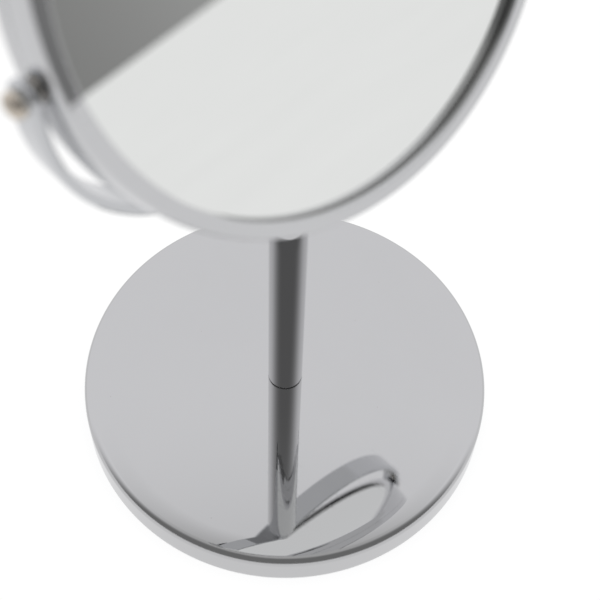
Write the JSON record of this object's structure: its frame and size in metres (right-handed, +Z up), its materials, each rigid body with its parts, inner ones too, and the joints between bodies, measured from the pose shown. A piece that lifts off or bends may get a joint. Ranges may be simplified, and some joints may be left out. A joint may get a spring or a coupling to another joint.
{
  "type": "countertop mirror",
  "caption": "Double-sided round tabletop mirror with a chromed frame that tips in a bent strip yoke, on a slim tube pole and a weighted chromed disc base.",
  "frame": {"origin": "centre of the base's flat underside, on the table", "axes": "+Z up the pole, X along the mirror's tilt axis, the front glass faces -Y and is tilted up at rest"},
  "size_m": [0.1776, 0.15, 0.3228],
  "materials": {
    "chrome": "mirror-polished chrome plate on pressed steel, faint wipe marks and fine hairlines",
    "chrome_tube": "mirror-polished chrome plate on drawn tube, faint lengthwise draw lines",
    "chrome_strip": "bright chrome plate on bent strip, slightly softer reflections",
    "chrome_rim": "bright chrome plate on the mirror's two bezels",
    "chrome_knob": "chrome plate on small turned parts",
    "mirror_glass": "silvered float glass, clean",
    "cast_iron": "rough cast iron, painted dark",
    "pad": "dark closed-cell foam rubber, fine pores",
    "dark_seal": "dark thin seating ring",
    "zinc_steel": "zinc-plated steel",
    "spring_steel": "hardened spring steel, satin",
    "brass": "turned brass, machining rings",
    "nylon": "natural nylon, satin",
    "hoop_plastic": "moulded dark plastic, fine texture",
    "foam": "white adhesive foam",
    "board": "pressed fibre board"
  },
  "bodies": {
    "stand": {"base_cover": "chrome", "base_weight": "cast_iron", "base_pad": "pad", "base_bolt": "zinc_steel", "base_washer": "zinc_steel", "base_lock_washer": "zinc_steel", "pole_foot_ring": "dark_seal", "pole_tube": "chrome_tube", "pole_foot_plug": "brass", "pole_top_plug": "brass", "yoke_strip": "chrome_strip", "yoke_screw": "zinc_steel", "yoke_washer": "zinc_steel", "pivot_bush_left": "nylon", "pivot_bush_right": "nylon", "friction_washer_left": "nylon", "friction_washer_right": "nylon"},
    "mirror": {"pivot_screw_left": "chrome_knob", "pivot_screw_right": "chrome_knob", "pivot_spacer_left": "chrome_knob", "pivot_spacer_right": "chrome_knob", "spring_washer_left": "spring_steel", "spring_washer_right": "spring_steel", "pivot_insert_left": "brass", "pivot_insert_right": "brass", "rim_hoop": "hoop_plastic", "front_bezel": "chrome_rim", "rear_bezel": "chrome_rim", "front_glass": "mirror_glass", "rear_glass": "mirror_glass", "front_foam_ring": "foam", "rear_foam_ring": "foam", "core_board": "board"}
  },
  "joints": [
    {"name": "mirror_tilt", "type": "hinge", "parent": "stand", "child": "mirror", "pos_m": [0, 0, 0.247], "axis": [1, 0, 0], "continuous": true}
  ]
}
